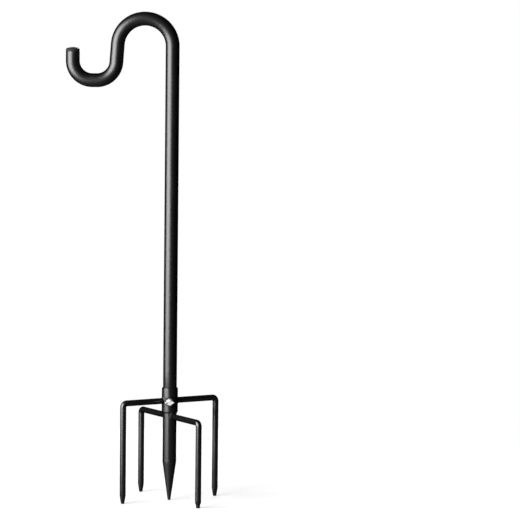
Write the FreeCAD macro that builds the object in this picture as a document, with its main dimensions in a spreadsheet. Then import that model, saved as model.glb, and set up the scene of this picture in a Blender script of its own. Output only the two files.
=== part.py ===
import FreeCAD, Part
import math
import os

import Sketcher

# Shepherd's hook on a five-pronged base, for a garden bed or lawn.
#
# The frame: +Z is up, and the origin is the end of the stake's point, on the plane in which all five
# points end. The hook lies in the XZ plane and reaches towards -X, and the clamp screw faces -Y.
# Every length is in millimetres and every angle in degrees.

# Driving sizes: name, value, what it is
SIZES = [
    # Tubes of the pole and the stake
    ("tube_diameter", 19.0, "outside of the three-quarter inch steel tube of the pole and the stake"),
    ("pole_wall", 1.2, "wall of the pole's tube"),
    ("stake_wall", 1.5, "wall of the stake's tube"),
    # Bends of the hook pole
    ("crown_height", 625.4, "height of the big bend's centre"),
    ("crown_radius", 37.5, "centre-line radius of the big bend"),
    ("hook_lean", 4.0, "lean of the run between the big bend and the cradle, degrees"),
    ("run_length", 25.0, "straight run between the big bend and the cradle"),
    ("throat_radius", 26.6, "centre-line radius of the two bends under the cradle"),
    ("cradle_flat", 6.3, "straight length between those two bends"),
    ("tip_length", 12.7, "straight length of the upturned end"),
    # Plugs in the two ends of the pole
    ("plug_depth", 10.0, "how far a plug reaches into the tube"),
    ("plug_wall", 1.6, "wall of a plug's skirt"),
    ("plug_clearance", 0.06, "gap round a plug's skirt"),
    ("cap_rise", 5.8, "height of the domed cap above the tube's end"),
    ("cap_dome_radius", 26.0, "radius of the shallow dome"),
    ("cap_edge_radius", 3.4, "rounding between the dome and the cap's side"),
    ("foot_flange", 1.5, "thickness of the foot plug's flange under the tube"),
    ("foot_relief", 0.2, "how much smaller that flange is than the tube, in radius"),
    # Socket collar
    ("collar_height", 138.8, "height of the collar's middle"),
    ("hub_drop", 0.5, "how far the clamp screw and the side bars lie below the collar's middle"),
    ("collar_length", 34.6, "length of the collar"),
    ("collar_wall", 1.4, "wall of the collar round the pole"),
    ("collar_edge", 0.7, "rounding of the collar's outer edges"),
    ("socket_clearance", 0.2, "gap between the pole and the collar, in radius"),
    ("stake_seat", 8.0, "how far the stake reaches up into the collar"),
    # Point of the stake
    ("point_length", 55.4, "length of the cone below the stake tube"),
    ("point_end_diameter", 4.0, "flat end of the cone"),
    ("point_edge", 0.5, "rounding of that flat end"),
    ("spigot_length", 14.0, "how far the point reaches up into the stake tube"),
    ("spigot_clearance", 0.05, "gap round the spigot, in radius"),
    # Prongs
    ("rod_diameter", 8.3, "eight millimetre steel rod with its coating"),
    ("rod_bend_radius", 5.2, "centre-line radius of a prong's corner"),
    ("rod_end_diameter", 4.8, "flat end of a prong"),
    ("rod_taper_length", 11.5, "length of a prong's taper"),
    ("rod_end_edge", 0.5, "rounding of a prong's flat end"),
    ("side_radius", 73.2, "from the stake's axis to the axis of a side prong"),
    ("cross_radius", 79.6, "from the stake's axis to the axis of a cross prong"),
    ("side_angle", 29.8, "direction of the right side bar, turned from +X towards +Y, degrees"),
    ("cross_turn", 90.0, "from the cross bar's front arm to the right side bar, degrees"),
    ("cross_bar_gap", 0.7, "gap between the collar's lower edge and the cross bar"),
    ("cross_hole_clearance", 0.1, "gap round the cross bar in the stake's holes, in radius"),
    # Clamp screw and its boss
    ("thread_diameter", 6.0, "outside of the screw's thread"),
    ("thread_clearance", 0.08, "gap round the thread, in radius"),
    ("boss_diameter", 12.0, "outside of the boss on the collar"),
    ("boss_height", 5.0, "how far the boss stands out from the collar"),
    ("boss_edge", 0.5, "rounding of the boss's outer edge"),
    ("screw_tip_gap", 0.3, "gap between the screw's end and the pole"),
    ("screw_tip_chamfer", 0.6, "chamfer on the screw's end"),
    ("screw_free_length", 2.0, "bare thread between the boss and the wing head"),
    ("wing_bore_depth", 4.5, "how far the stud reaches into the wing head"),
    ("wing_hub_diameter", 10.4, "back of the wing head's hub"),
    ("wing_nose_diameter", 9.4, "front of the wing head's hub"),
    ("wing_hub_length", 7.5, "length of the hub"),
    ("wing_span", 13.6, "from the end of one wing to the end of the other"),
    ("wing_root_width", 6.4, "thickness of the wings where they meet"),
    ("wing_tip_width", 1.6, "thickness of a wing at its end"),
    ("wing_reach", 1.2, "how far the wings' ends stand out past the hub"),
    ("wing_set_back", 1.0, "from the hub's back to the wings' back edge at the root"),
    ("wing_rise", 1.5, "how much further out that edge is at the wings' ends"),
]

# Sizes worked out from the driving ones: name, formula
DERIVED = [
    ("tube_radius", "tube_diameter / 2"),
    ("pole_bore_radius", "tube_radius - pole_wall"),
    ("stake_bore_radius", "tube_radius - stake_wall"),
    ("hook_climb_angle", "90 - hook_lean"),
    ("crown_end_reach", "crown_radius * (1 + cos(hook_lean * 1 deg))"),
    ("crown_end_height", "crown_height + crown_radius * sin(hook_lean * 1 deg)"),
    ("run_end_reach", "crown_end_reach + run_length * sin(hook_lean * 1 deg)"),
    ("run_end_height", "crown_end_height - run_length * cos(hook_lean * 1 deg)"),
    ("near_bend_reach", "run_end_reach + throat_radius * cos(hook_lean * 1 deg)"),
    ("far_bend_reach", "near_bend_reach + cradle_flat"),
    ("throat_level", "run_end_height + throat_radius * sin(hook_lean * 1 deg)"),
    ("tip_reach", "far_bend_reach + throat_radius"),
    ("tip_height", "throat_level + tip_length"),
    ("collar_bottom", "collar_height - collar_length / 2"),
    ("collar_top", "collar_bottom + collar_length"),
    ("hub_height", "collar_height - hub_drop"),
    ("collar_bore_radius", "tube_radius + socket_clearance"),
    ("collar_radius", "collar_bore_radius + collar_wall"),
    ("stake_top", "collar_bottom + stake_seat"),
    ("stake_length", "stake_top - point_length"),
    ("pole_foot", "stake_top + foot_flange"),
    ("plug_radius", "pole_bore_radius - plug_clearance"),
    ("plug_hollow_radius", "plug_radius - plug_wall"),
    ("cap_seat", "tip_height - plug_depth"),
    ("cap_peak", "plug_depth + cap_rise"),
    ("foot_flange_radius", "tube_radius - foot_relief"),
    ("foot_plug_length", "foot_flange + plug_depth"),
    ("point_end_radius", "point_end_diameter / 2"),
    ("spigot_radius", "stake_bore_radius - spigot_clearance"),
    ("spigot_top", "point_length + spigot_length"),
    ("rod_radius", "rod_diameter / 2"),
    ("rod_end_radius", "rod_end_diameter / 2"),
    ("rod_taper_depth", "rod_radius - rod_end_radius"),
    ("side_root", "collar_bore_radius"),
    ("cross_angle", "side_angle - cross_turn"),
    ("cross_bar_height", "collar_bottom - cross_bar_gap - rod_radius"),
    ("cross_hole_radius", "rod_radius + cross_hole_clearance"),
    ("thread_radius", "thread_diameter / 2"),
    ("tapped_radius", "thread_radius + thread_clearance"),
    ("boss_radius", "boss_diameter / 2"),
    ("boss_face", "collar_radius + boss_height"),
    ("screw_tip", "tube_radius + screw_tip_gap"),
    ("wing_back", "boss_face + screw_free_length"),
    ("wing_front", "wing_back + wing_hub_length"),
    ("screw_end", "wing_back + wing_bore_depth"),
    ("screw_length", "screw_end - screw_tip"),
    ("wing_bore_length", "wing_bore_depth + thread_clearance"),
    ("wing_hub_radius", "wing_hub_diameter / 2"),
    ("wing_nose_radius", "wing_nose_diameter / 2"),
    ("wing_half_span", "wing_span / 2"),
    ("wing_root_back", "wing_back + wing_set_back"),
    ("wing_end_back", "wing_root_back + wing_rise"),
    ("wing_end_front", "wing_front + wing_reach"),
]

# How closely a measured size must agree with a named one to count as the same
MATCH = 1e-4

# The numbers by which a sketch knows the points of a line or curve, and its own axes and origin
START, END, CENTRE = range(1, 4)
X_AXIS, Y_AXIS = range(-1, -3, -1)
ORIGIN = (X_AXIS, START)

doc = FreeCAD.newDocument("ShepherdsHook")
sheet = doc.addObject("Spreadsheet::Sheet", "Sizes")


def fill_sheet():
    """Write the driving sizes as plain numbers and the derived ones as formulas, each with its alias."""
    cells = [(name, str(value), note) for name, value, note in SIZES]
    cells += [(name, "=" + formula, "") for name, formula in DERIVED]
    for row, (name, content, note) in enumerate(cells, 1):
        sheet.set(f"A{row}", name)
        sheet.set(f"B{row}", content)
        sheet.set(f"C{row}", note)
        sheet.setAlias(f"B{row}", name)
    doc.recompute()


def size(name):
    """The number that the sheet holds under an alias."""
    return float(getattr(sheet, name))


def bind(item, prop, name, unit=""):
    """Tie a property of a document object to a cell of the sheet."""
    item.setExpression(prop, f"Sizes.{name}{unit}")


# Bodies and sketches


def new_body(name):
    body = doc.addObject("PartDesign::Body", name)
    body.Label = name
    return body


def raise_to(body, height_name):
    bind(body, "Placement.Base.z", height_name)


def turn_to(body, angle_name, half_turn=False):
    """Turn a body about the stake's axis by an angle of the sheet, or by that and half a turn."""
    body.Placement = FreeCAD.Placement(FreeCAD.Vector(), FreeCAD.Rotation(FreeCAD.Vector(0, 0, 1), 1))
    bind(body, "Placement.Rotation.Angle", angle_name, " * 1 deg" + (" + 180 deg" if half_turn else ""))


def aim_at_front(body):
    """Put a body's own origin on the pole's axis at the clamp screw, with its own +Z towards -Y."""
    body.Placement = FreeCAD.Placement(FreeCAD.Vector(), FreeCAD.Rotation(FreeCAD.Vector(1, 0, 0), 90))
    raise_to(body, "hub_height")


def new_sketch(body, plane_role, title, offset_name=None, behind=False):
    """A sketch on one of the body's origin planes, or parallel to it at a named distance."""
    plane = next(item for item in body.Origin.OriginFeatures if item.Role == plane_role)
    sketch = body.newObject("Sketcher::SketchObject", f"{body.Name}_{title}")
    sketch.AttachmentSupport = [(plane, "")]
    sketch.MapMode = "FlatFace"
    if offset_name:
        bind(sketch, "AttachmentOffset.Base.z", offset_name, " * -1" if behind else "")
    return sketch


def spot(x, y):
    return FreeCAD.Vector(x, y, 0)


def add_line(sketch, start, end):
    return sketch.addGeometry(Part.LineSegment(start, end), False)


def add_arc(sketch, centre, radius, first, last):
    """An arc that runs anticlockwise from one angle to another, in degrees."""
    circle = Part.Circle(centre, FreeCAD.Vector(0, 0, 1), radius)
    return sketch.addGeometry(Part.ArcOfCircle(circle, math.radians(first), math.radians(last)), False)


def relate(sketch, kind, *places):
    sketch.addConstraint(Sketcher.Constraint(kind, *places))


def measure(sketch, kind, places, name):
    """A dimension of a sketch that takes its value from the sheet."""
    value = math.radians(size(name)) if kind == "Angle" else size(name)
    index = sketch.addConstraint(Sketcher.Constraint(kind, *places, value))
    title = f"{name}_{index}"
    sketch.renameConstraint(index, title)
    bind(sketch, f"Constraints.{title}", name, " * 1 deg" if kind == "Angle" else "")


def place_point(sketch, item, end, across, up):
    """Hold a point at two named distances from the axes. An empty name puts it on that axis."""
    for kind, axis, name in (("DistanceX", Y_AXIS, across), ("DistanceY", X_AXIS, up)):
        if name:
            measure(sketch, kind, (*ORIGIN, item, end), name)
        else:
            relate(sketch, "PointOnObject", item, end, axis)


def add_circle(sketch, radius_name, across="", up=""):
    """A circle round the sketch's origin, or round a point at named distances from it."""
    centre = spot(size(across) if across else 0, size(up) if up else 0)
    item = sketch.addGeometry(Part.Circle(centre, FreeCAD.Vector(0, 0, 1), size(radius_name)), False)
    place_point(sketch, item, CENTRE, across, up)
    measure(sketch, "Radius", (item,), radius_name)


def add_outline(sketch, corners):
    """A closed outline of straight lines between corners, each named by its two distances."""
    spots = [spot(*(size(name) if name else 0 for name in corner)) for corner in corners]
    count = len(corners)
    first = sketch.GeometryCount
    for index in range(count):
        add_line(sketch, spots[index], spots[(index + 1) % count])
    for index in range(count):
        relate(sketch, "Coincident", first + index, END, first + (index + 1) % count, START)
    for index, (across, up) in enumerate(corners):
        place_point(sketch, first + index, START, across, up)


def add_strip(sketch, width_name, low_name, high_name):
    """A rectangle that straddles the sketch's upright axis, between two named heights."""
    half, low, high = size(width_name) / 2, size(low_name), size(high_name)
    corners = [spot(-half, low), spot(half, low), spot(half, high), spot(-half, high)]
    for index in range(4):
        add_line(sketch, corners[index], corners[(index + 1) % 4])
    for index in range(4):
        relate(sketch, "Coincident", index, END, (index + 1) % 4, START)
    for index in (0, 2):
        relate(sketch, "Symmetric", index, START, index, END, Y_AXIS)
    measure(sketch, "DistanceX", (0, START, 0, END), width_name)
    relate(sketch, "Vertical", 1)
    measure(sketch, "DistanceY", (*ORIGIN, 0, START), low_name)
    measure(sketch, "DistanceY", (*ORIGIN, 2, START), high_name)


# Features


def new_feature(body, kind, profile, title):
    feature = body.newObject(f"PartDesign::{kind}", f"{body.Name}_{title}")
    feature.Profile = profile
    return feature


def revolve(body, profile):
    """Turn an outline once round the upright axis of its sketch."""
    feature = new_feature(body, "Revolution", profile, "turned")
    feature.ReferenceAxis = (profile, ["V_Axis"])
    feature.Angle = 360


def pad(body, profile, length_name):
    feature = new_feature(body, "Pad", profile, "pad")
    bind(feature, "Length", length_name)


def sweep(body, profile, path):
    feature = new_feature(body, "AdditivePipe", profile, "swept")
    feature.Spine = (path, [])


def cut_through(body, profile, title):
    """Cut an outline out of the whole body, on both sides of its sketch."""
    feature = new_feature(body, "Pocket", profile, title)
    feature.SideType = "Symmetric"
    feature.Type = "ThroughAll"


def cut_one_way(body, profile, title, length_name):
    """Cut an outline out of the body to a named depth, along the direction that its sketch faces."""
    feature = new_feature(body, "Pocket", profile, title)
    feature.Reversed = True
    bind(feature, "Length", length_name)


def rings(body, radius_name, *heights):
    """The body's edges that are whole circles of a named radius at the given heights of its own."""
    doc.recompute()
    found = []
    for index, edge in enumerate(body.Tip.Shape.Edges, 1):
        if edge.Degenerated or not edge.isClosed() or not isinstance(edge.Curve, Part.Circle):
            continue
        same_radius = abs(edge.Curve.Radius - size(radius_name)) < MATCH
        if same_radius and any(abs(edge.Curve.Center.z - height) < MATCH for height in heights):
            found.append(f"Edge{index}")
    return found


def dress_edges(body, kind, title, edges):
    """A fillet or chamfer on the named edges of the body as it is so far."""
    base = body.Tip
    feature = body.newObject(f"PartDesign::{kind}", f"{body.Name}_{title}")
    feature.Base = (base, edges)
    return feature


def round_edges(body, title, edges, radius_name):
    feature = dress_edges(body, "Fillet", title, edges)
    bind(feature, "Radius", radius_name)


# Paths of the bent tube and rods


def add_hook_path(sketch):
    """The pole's centre-line: up the pole, over the crown, down the leaning run, under the cradle, up."""
    lean, throat = size("hook_lean"), size("throat_radius")
    crown_centre = spot(-size("crown_radius"), size("crown_height"))
    near_centre = spot(-size("near_bend_reach"), size("throat_level"))
    far_centre = spot(-size("far_bend_reach"), size("throat_level"))
    crown_end = spot(-size("crown_end_reach"), size("crown_end_height"))
    run_end = spot(-size("run_end_reach"), size("run_end_height"))
    tip_start = far_centre - spot(throat, 0)

    pole = add_line(sketch, spot(0, size("pole_foot")), spot(0, size("crown_height")))
    big_bend = add_arc(sketch, crown_centre, size("crown_radius"), 0, 180 - lean)
    run = add_line(sketch, run_end, crown_end)
    near_bend = add_arc(sketch, near_centre, throat, -90, -lean)
    flat = add_line(sketch, near_centre - spot(0, throat), far_centre - spot(0, throat))
    far_bend = add_arc(sketch, far_centre, throat, 180, 270)
    tip = add_line(sketch, tip_start, spot(tip_start.x, size("tip_height")))

    relate(sketch, "Tangent", pole, END, big_bend, START)
    relate(sketch, "Tangent", big_bend, END, run, END)
    relate(sketch, "Tangent", run, START, near_bend, END)
    relate(sketch, "Tangent", near_bend, START, flat, START)
    relate(sketch, "Tangent", flat, END, far_bend, END)
    relate(sketch, "Tangent", far_bend, START, tip, START)
    place_point(sketch, pole, START, "", "pole_foot")
    relate(sketch, "Vertical", pole)
    measure(sketch, "DistanceY", (*ORIGIN, big_bend, CENTRE), "crown_height")
    measure(sketch, "Radius", (big_bend,), "crown_radius")
    measure(sketch, "Angle", (run,), "hook_climb_angle")
    measure(sketch, "Distance", (run,), "run_length")
    measure(sketch, "Radius", (near_bend,), "throat_radius")
    relate(sketch, "Horizontal", flat)
    measure(sketch, "Distance", (flat,), "cradle_flat")
    measure(sketch, "Radius", (far_bend,), "throat_radius")
    relate(sketch, "Vertical", tip)
    measure(sketch, "Distance", (tip,), "tip_length")


def add_rod_path(sketch, leg_name, bar_name, root_name=None):
    """Up a leg, round a corner and along the bar, to a named place or down a second leg like the first."""
    leg, bar, bend = size(leg_name), size(bar_name), size("rod_bend_radius")
    root = size(root_name) if root_name else bend - leg
    leg_line = add_line(sketch, spot(leg, 0), spot(leg, bar - bend))
    corner = add_arc(sketch, spot(leg - bend, bar - bend), bend, 0, 90)
    bar_line = add_line(sketch, spot(leg - bend, bar), spot(root, bar))
    relate(sketch, "Tangent", leg_line, END, corner, START)
    relate(sketch, "Tangent", corner, END, bar_line, START)
    place_point(sketch, leg_line, START, leg_name, "")
    relate(sketch, "Vertical", leg_line)
    relate(sketch, "Horizontal", bar_line)
    measure(sketch, "DistanceY", (*ORIGIN, bar_line, START), bar_name)
    measure(sketch, "Radius", (corner,), "rod_bend_radius")
    if root_name:
        measure(sketch, "DistanceX", (*ORIGIN, bar_line, END), root_name)
        return
    far_corner = add_arc(sketch, spot(bend - leg, bar - bend), bend, 90, 180)
    far_line = add_line(sketch, spot(-leg, bar - bend), spot(-leg, 0))
    relate(sketch, "Tangent", bar_line, END, far_corner, START)
    relate(sketch, "Tangent", far_corner, END, far_line, START)
    measure(sketch, "Radius", (far_corner,), "rod_bend_radius")
    relate(sketch, "Vertical", far_line)
    relate(sketch, "Symmetric", leg_line, START, far_line, END, Y_AXIS)


def taper_ends(body):
    """Taper every end of a rod that stands on the ground plane, and round the flat that is left."""
    taper = dress_edges(body, "Chamfer", "taper", rings(body, "rod_radius", 0))
    taper.ChamferType = "Two distances"
    bind(taper, "Size", "rod_taper_length")
    bind(taper, "Size2", "rod_taper_depth")
    round_edges(body, "end", rings(body, "rod_end_radius", 0), "rod_end_edge")


# The pieces of the hook


def make_hook_pole():
    body = new_body("hook_pole")
    path = new_sketch(body, "XZ_Plane", "path")
    add_hook_path(path)
    section = new_sketch(body, "XY_Plane", "section", "pole_foot")
    add_circle(section, "tube_radius")
    add_circle(section, "pole_bore_radius")
    sweep(body, section, path)
    return body


def make_hook_tip_cap():
    """Domed cap whose skirt plugs the upturned end, drawn from the skirt's lower edge."""
    body = new_body("hook_tip_cap")
    body.Placement = FreeCAD.Placement()
    bind(body, "Placement.Base.x", "tip_reach", " * -1")
    raise_to(body, "cap_seat")
    outline = new_sketch(body, "XZ_Plane", "outline")
    rim, peak, dome = size("tube_radius"), size("cap_peak"), size("cap_dome_radius")
    dome_start = math.degrees(math.acos(rim / dome))
    shoulder = spot(rim, peak - dome + math.sqrt(dome ** 2 - rim ** 2))
    corners = [("", "plug_depth"), ("plug_hollow_radius", "plug_depth"), ("plug_hollow_radius", ""),
               ("plug_radius", ""), ("plug_radius", "plug_depth"), ("tube_radius", "plug_depth")]
    spots = [spot(*(size(name) if name else 0 for name in corner)) for corner in corners]
    spots += [shoulder]
    for start, end in zip(spots, spots[1:]):
        add_line(outline, start, end)
    side = len(spots) - 2
    arc = add_arc(outline, spot(0, peak - dome), dome, dome_start, 90)
    axis_line = add_line(outline, spot(0, peak), spots[0])
    for index in range(side):
        relate(outline, "Coincident", index, END, index + 1, START)
    relate(outline, "Coincident", side, END, arc, START)
    relate(outline, "Coincident", arc, END, axis_line, START)
    relate(outline, "Coincident", axis_line, END, 0, START)
    for index, (across, up) in enumerate(corners):
        place_point(outline, index, START, across, up)
    relate(outline, "Vertical", side)
    relate(outline, "PointOnObject", arc, CENTRE, Y_AXIS)
    measure(outline, "Radius", (arc,), "cap_dome_radius")
    place_point(outline, axis_line, START, "", "cap_peak")
    revolve(body, outline)
    round_edges(body, "edge", rings(body, "tube_radius", shoulder.y), "cap_edge_radius")
    return body


def make_foot_plug():
    """Plug in the pole's lower end, whose flange stands on the stake's rim."""
    body = new_body("foot_plug")
    body.Placement = FreeCAD.Placement()
    raise_to(body, "stake_top")
    outline = new_sketch(body, "XZ_Plane", "outline")
    add_outline(outline, [("", ""), ("foot_flange_radius", ""), ("foot_flange_radius", "foot_flange"),
                          ("plug_radius", "foot_flange"), ("plug_radius", "foot_plug_length"),
                          ("plug_hollow_radius", "foot_plug_length"), ("plug_hollow_radius", "foot_flange"),
                          ("", "foot_flange")])
    revolve(body, outline)
    return body


def make_socket_collar():
    """Sleeve that is tight on the stake and loose on the pole, with a hole for the clamp screw."""
    body = new_body("socket_collar")
    outline = new_sketch(body, "XZ_Plane", "outline")
    add_outline(outline, [("tube_radius", "collar_bottom"), ("collar_radius", "collar_bottom"),
                          ("collar_radius", "collar_top"), ("collar_bore_radius", "collar_top"),
                          ("collar_bore_radius", "stake_top"), ("tube_radius", "stake_top")])
    revolve(body, outline)
    outer_edges = rings(body, "collar_radius", size("collar_bottom"), size("collar_top"))
    round_edges(body, "edges", outer_edges, "collar_edge")
    hole = new_sketch(body, "XZ_Plane", "screw_hole")
    add_circle(hole, "tapped_radius", up="hub_height")
    cut_one_way(body, hole, "screw_cut", "boss_face")
    return body


def make_threaded_boss():
    """Round boss on the front of the collar, shaped to the collar, with the clamp screw's thread."""
    body = new_body("threaded_boss")
    aim_at_front(body)
    section = new_sketch(body, "XY_Plane", "section")
    add_circle(section, "boss_radius")
    add_circle(section, "tapped_radius")
    pad(body, section, "boss_face")
    round_edges(body, "edge", rings(body, "boss_radius", size("boss_face")), "boss_edge")
    seat = new_sketch(body, "XZ_Plane", "seat")
    add_circle(seat, "collar_radius")
    cut_through(body, seat, "seat_cut")
    return body


def make_clamp_stud():
    body = new_body("clamp_stud")
    aim_at_front(body)
    section = new_sketch(body, "XY_Plane", "section", "screw_tip")
    add_circle(section, "thread_radius")
    pad(body, section, "screw_length")
    chamfer = dress_edges(body, "Chamfer", "tip", rings(body, "thread_radius", size("screw_tip")))
    bind(chamfer, "Size", "screw_tip_chamfer")
    return body


def make_wing_head():
    """Hub with two wings that taper outwards, on the stud's outer end."""
    body = new_body("wing_head")
    aim_at_front(body)
    outline = new_sketch(body, "XZ_Plane", "outline")
    add_outline(outline, [("", "wing_back"), ("wing_hub_radius", "wing_back"),
                          ("wing_nose_radius", "wing_front"), ("", "wing_front")])
    revolve(body, outline)
    ends = []
    for title, behind in (("left_end", True), ("right_end", False)):
        end = new_sketch(body, "YZ_Plane", title, "wing_half_span", behind)
        add_strip(end, "wing_tip_width", "wing_end_back", "wing_end_front")
        ends.append(end)
    root = new_sketch(body, "YZ_Plane", "root")
    add_strip(root, "wing_root_width", "wing_root_back", "wing_front")
    wings = new_feature(body, "AdditiveLoft", ends[0], "wings")
    wings.Sections = [root, ends[1]]
    wings.Ruled = True
    bore = new_sketch(body, "XY_Plane", "bore", "wing_back")
    add_circle(bore, "tapped_radius")
    cut_one_way(body, bore, "bore_cut", "wing_bore_length")
    return body


def make_ground_stake():
    """Tube below the collar, with two holes for the cross bar."""
    body = new_body("ground_stake")
    turn_to(body, "cross_angle")
    section = new_sketch(body, "XY_Plane", "section", "point_length")
    add_circle(section, "tube_radius")
    add_circle(section, "stake_bore_radius")
    pad(body, section, "stake_length")
    hole = new_sketch(body, "YZ_Plane", "cross_hole")
    add_circle(hole, "cross_hole_radius", up="cross_bar_height")
    cut_through(body, hole, "cross_cut")
    return body


def make_stake_point():
    """Cone below the stake tube, with a spigot inside the tube."""
    body = new_body("stake_point")
    outline = new_sketch(body, "XZ_Plane", "outline")
    add_outline(outline, [("", ""), ("point_end_radius", ""), ("tube_radius", "point_length"),
                          ("spigot_radius", "point_length"), ("spigot_radius", "spigot_top"),
                          ("", "spigot_top")])
    revolve(body, outline)
    round_edges(body, "end", rings(body, "point_end_radius", 0), "point_edge")
    return body


def make_side_prong(name, half_turn):
    """Rod from the collar's side, out along its bar and down to the ground plane."""
    body = new_body(name)
    turn_to(body, "side_angle", half_turn)
    path = new_sketch(body, "XZ_Plane", "path")
    add_rod_path(path, "side_radius", "hub_height", "side_root")
    section = new_sketch(body, "XY_Plane", "section")
    add_circle(section, "rod_radius", across="side_radius")
    sweep(body, section, path)
    taper_ends(body)
    seat = new_sketch(body, "XY_Plane", "seat")
    add_circle(seat, "collar_radius")
    cut_through(body, seat, "seat_cut")
    return body


def make_cross_fork():
    """Rod through the stake's two holes, bent down at both ends."""
    body = new_body("cross_fork")
    turn_to(body, "cross_angle")
    path = new_sketch(body, "XZ_Plane", "path")
    add_rod_path(path, "cross_radius", "cross_bar_height")
    section = new_sketch(body, "XY_Plane", "section")
    add_circle(section, "rod_radius", across="cross_radius")
    sweep(body, section, path)
    taper_ends(body)
    return body


def check_document():
    """Stop if any object of the document failed to build."""
    for item in doc.Objects:
        if "Invalid" in item.State or "Error" in item.State:
            raise RuntimeError(f"{item.Name} did not build: {item.State}")


def write_pieces(bodies):
    """Check each piece and write it to the file that carries its name."""
    os.makedirs("parts", exist_ok=True)
    for body in bodies:
        shape = body.Shape
        if shape.isNull() or not shape.isValid() or len(shape.Solids) != 1:
            raise RuntimeError(f"{body.Label} is not one valid solid")
        shape.exportStep(f"parts/{body.Label}.step")
        print(f"{body.Label}: {shape.Volume:.1f} mm3")


fill_sheet()
pieces = [
    make_hook_pole(),
    make_hook_tip_cap(),
    make_foot_plug(),
    make_socket_collar(),
    make_threaded_boss(),
    make_clamp_stud(),
    make_wing_head(),
    make_ground_stake(),
    make_stake_point(),
    make_side_prong("left_prong", True),
    make_side_prong("right_prong", False),
    make_cross_fork(),
]
doc.recompute()
check_document()
write_pieces(pieces)
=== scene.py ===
import math

import bmesh
import bpy
from mathutils import Matrix, Vector


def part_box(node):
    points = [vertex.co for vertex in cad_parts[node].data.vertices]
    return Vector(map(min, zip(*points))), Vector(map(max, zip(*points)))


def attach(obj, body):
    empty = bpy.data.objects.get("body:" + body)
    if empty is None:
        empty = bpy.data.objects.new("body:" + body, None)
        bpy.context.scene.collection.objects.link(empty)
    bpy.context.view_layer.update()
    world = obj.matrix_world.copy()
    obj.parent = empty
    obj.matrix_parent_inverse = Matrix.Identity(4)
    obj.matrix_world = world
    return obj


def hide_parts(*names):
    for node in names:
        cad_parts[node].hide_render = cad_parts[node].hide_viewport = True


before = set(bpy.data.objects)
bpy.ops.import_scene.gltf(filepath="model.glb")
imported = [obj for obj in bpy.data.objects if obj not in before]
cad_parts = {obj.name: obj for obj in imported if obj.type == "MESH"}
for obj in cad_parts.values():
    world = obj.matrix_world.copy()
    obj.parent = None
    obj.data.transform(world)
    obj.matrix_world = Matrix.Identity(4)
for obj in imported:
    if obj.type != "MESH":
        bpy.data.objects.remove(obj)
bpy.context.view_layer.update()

# Shepherd's hook on a five-pronged base. Lengths are in metres, +Z is up the pole, the hook reaches
# towards -X and the clamp screw faces -Y. What the frame's boxes don't give is named here.

MM = 0.001

# How far from an edge the rings lie that keep its long sides flat
EDGE_MARGIN = 0.35 * MM

# How many such margins a side has at least to get those rings
LONG_RUN_MARGINS = 4

# Points nearer than the distance are merged, edges sharper than the corner can be rounded, and edges
# flatter than the smooth angle are shaded smooth
MERGE_DISTANCE = 0.002 * MM
SHARP_CORNER = math.radians(35)
SMOOTH_ANGLE = math.radians(40)

# Bent tube of the pole
TUBE_RADIUS = 9.5 * MM
POLE_WALL = 1.2 * MM
TUBE_RIM = 0.25 * MM
CROWN_RADIUS = 37.5 * MM
THROAT_RADIUS = 26.6 * MM
RUN_LENGTH = 25.0 * MM
CRADLE_FLAT = 6.3 * MM
HOOK_LEAN = math.radians(4.0)
TUBE_SIDES = 80
TUBE_RIM_SEGMENTS = 2
POLE_STEPS = 10
CROWN_STEPS = 110
NEAR_BEND_STEPS = 56
FAR_BEND_STEPS = 58
SHORT_RUN_STEPS = 2

# Plugs in the ends of the pole
PLUG_DEPTH = 10.0 * MM
PLUG_WALL = 1.6 * MM
PLUG_CLEARANCE = 0.06 * MM
PLUG_RADIUS = TUBE_RADIUS - POLE_WALL - PLUG_CLEARANCE
PLUG_EDGE = 0.4 * MM
CAP_RISE = 5.8 * MM
CAP_EDGE_RADIUS = 3.4 * MM
CAP_DOME_RADIUS = 26.0 * MM
CAP_EDGE_STEPS = 10
CAP_DOME_STEPS = 8
CAP_FLOOR = 1.5 * MM
SEAM_DEPTH = 0.35 * MM
GATE_RADIUS = 1.3 * MM
GATE_DEPTH = 0.15 * MM
FOOT_FLANGE = 1.5 * MM
FOOT_FLANGE_RADIUS = 9.3 * MM

# Collar, boss and stake
HUB_DROP = 0.5 * MM
COLLAR_RADIUS = 11.1 * MM
SOCKET_RADIUS = 9.7 * MM
COLLAR_EDGE = 0.9 * MM
COLLAR_FOOT = 2.0 * MM
COLLAR_FOOT_STEPS = 8
SOCKET_LEAD_IN = 0.3 * MM
BOSS_RADIUS = 6.0 * MM
BOSS_EDGE = 0.5 * MM
FITTING_SIDES = 48
TAPPED_RADIUS = 3.08 * MM
STAKE_BORE_RADIUS = 8.0 * MM
CROSS_HOLE_RADIUS = 4.25 * MM
POINT_END_RADIUS = 2.0 * MM
POINT_EDGE = 0.5 * MM
SHOULDER_ROUNDING = 4.0 * MM
SPIGOT_RADIUS = 7.95 * MM

# Prongs
ROD_RADIUS = 4.15 * MM
ROD_END_RADIUS = 2.4 * MM
ROD_END_EDGE = 0.5 * MM
ROD_BEND_RADIUS = 5.2 * MM
ROD_TAPER = 11.5 * MM
NUB_RADIUS = 2.7 * MM
NUB_LENGTH = 5.0 * MM
NUB_SHOULDER = 8.0 * MM
SIDE_REACH = 73.2 * MM
CROSS_REACH = 79.6 * MM
SIDE_ANGLE = math.radians(29.8)
ROD_SIDES = 40
CORNER_STEPS = 14
LEG_STEPS = 3
SIDE_BAR_STEPS = 4
CROSS_BAR_STEPS = 8

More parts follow.
